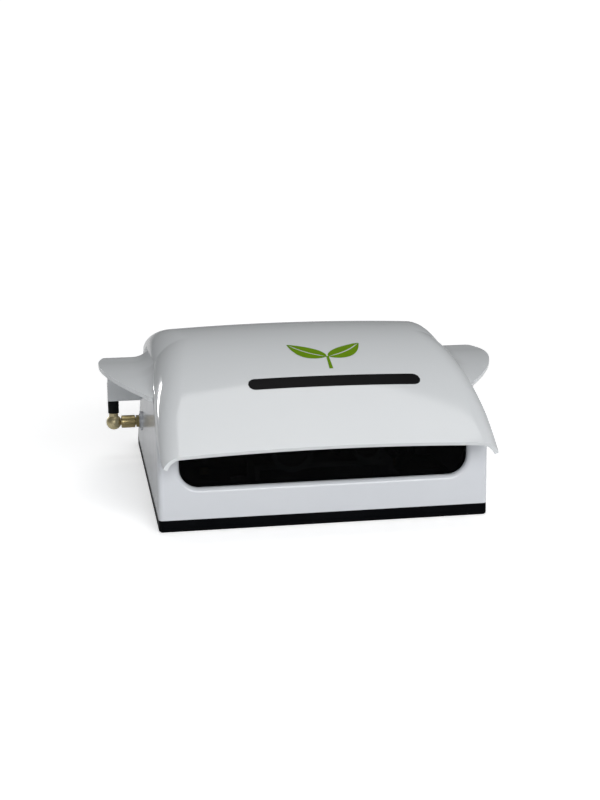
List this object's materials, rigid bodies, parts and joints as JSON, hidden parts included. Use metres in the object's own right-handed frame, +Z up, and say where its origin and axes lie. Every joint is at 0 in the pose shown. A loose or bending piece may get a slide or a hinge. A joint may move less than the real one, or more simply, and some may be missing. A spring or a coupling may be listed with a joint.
{
  "type": "crop and soil sensing camera unit",
  "caption": "White roof-mounted field sensing unit: a gloss hood with a deep visor over a dark camera window, a black base, side wings and swivelling stub antennas.",
  "frame": {"origin": "centre of the base plate's underside", "axes": "+Z up, the window and visor face -Y, +X to the right seen from the front"},
  "size_m": [0.286, 0.309, 0.1168],
  "materials": {
    "shell_white": "smooth high-gloss white moulding",
    "base_black": "satin black, fine grain",
    "seal_rubber": "soft matte rubber",
    "tinted_pane": "dark tinted pane, polished",
    "frame_black": "matte black",
    "brass_plain": "machined brass",
    "zinc_steel": "zinc-plated steel",
    "bare_aluminium": "bead-blasted aluminium",
    "lens_black": "black anodised aluminium",
    "lens_glass": "coated lens glass",
    "camera_grey": "dark grey painted housing",
    "ribbon_amber": "amber film cable",
    "board_green": "green solder mask",
    "chip_black": "moulded package",
    "connector_white": "moulded connector",
    "terminal_green": "moulded terminal block",
    "patch_ceramic": "ceramic antenna patch",
    "nickel_brass": "nickel-plated brass",
    "contact_gold": "gold-plated contacts",
    "vent_black": "matte black moulding",
    "lead_black": "insulated lead",
    "antenna_brass": "bronzed brass, lightly tarnished",
    "antenna_rubber": "moulded rubber sleeve"
  },
  "bodies": {
    "root": {"hood_shell": "shell_white", "body_shell": "shell_white", "base_plate": "base_black", "base_gasket": "seal_rubber", "hood_seal": "seal_rubber", "window_gasket": "seal_rubber", "window_pane": "tinted_pane", "window_frame": "frame_black", "mount_inserts": "brass_plain", "base_screws": "zinc_steel", "hood_screws": "zinc_steel", "window_frame_screws": "zinc_steel", "bracket_screws": "zinc_steel", "board_screws": "zinc_steel", "mast_screws": "zinc_steel", "camera_screws": "zinc_steel", "camera_bracket": "bare_aluminium", "main_lens_ring": "lens_black", "main_lens_glass": "lens_glass", "main_lens_barrel": "lens_black", "main_camera_body": "camera_grey", "main_camera_ribbon": "ribbon_amber", "second_lens_ring": "lens_black", "second_lens_glass": "lens_glass", "second_lens_barrel": "lens_black", "second_camera_body": "camera_grey", "second_camera_ribbon": "ribbon_amber", "main_board": "board_green", "board_standoffs": "brass_plain", "processor_module": "chip_black", "heatsink": "bare_aluminium", "ribbon_sockets": "connector_white", "power_terminal": "terminal_green", "coax_sockets": "brass_plain", "gnss_mast": "bare_aluminium", "gnss_board": "board_green", "gnss_patch": "patch_ceramic", "power_socket": "nickel_brass", "socket_pins": "contact_gold", "rear_nuts": "nickel_brass", "vent_plug": "vent_black", "power_lead": "lead_black", "left_antenna_jack": "antenna_brass", "left_jack_washer": "zinc_steel", "left_jack_nut": "antenna_brass", "left_antenna_pigtail": "lead_black", "right_antenna_jack": "antenna_brass", "right_jack_washer": "zinc_steel", "right_jack_nut": "antenna_brass", "right_antenna_pigtail": "lead_black"},
    "left_antenna": {"left_antenna_elbow": "antenna_brass", "left_antenna_stub": "antenna_rubber"},
    "left_coupling": {"left_antenna_coupling": "antenna_brass"},
    "right_antenna": {"right_antenna_elbow": "antenna_brass", "right_antenna_stub": "antenna_rubber"},
    "right_coupling": {"right_antenna_coupling": "antenna_brass"}
  },
  "joints": [
    {"name": "left_antenna_swivel", "type": "hinge", "parent": "root", "child": "left_antenna", "pos_m": [-0.1306, 0.081, 0.029], "axis": [-1, 0, 0], "range_deg": [-20, 115]},
    {"name": "left_coupling_spin", "type": "hinge", "parent": "root", "child": "left_coupling", "pos_m": [-0.1193, 0.081, 0.029], "axis": [-1, 0, 0], "continuous": true},
    {"name": "right_antenna_swivel", "type": "hinge", "parent": "root", "child": "right_antenna", "pos_m": [0.1306, 0.081, 0.029], "axis": [-1, 0, 0], "range_deg": [-20, 115]},
    {"name": "right_coupling_spin", "type": "hinge", "parent": "root", "child": "right_coupling", "pos_m": [0.1193, 0.081, 0.029], "axis": [-1, 0, 0], "continuous": true}
  ]
}
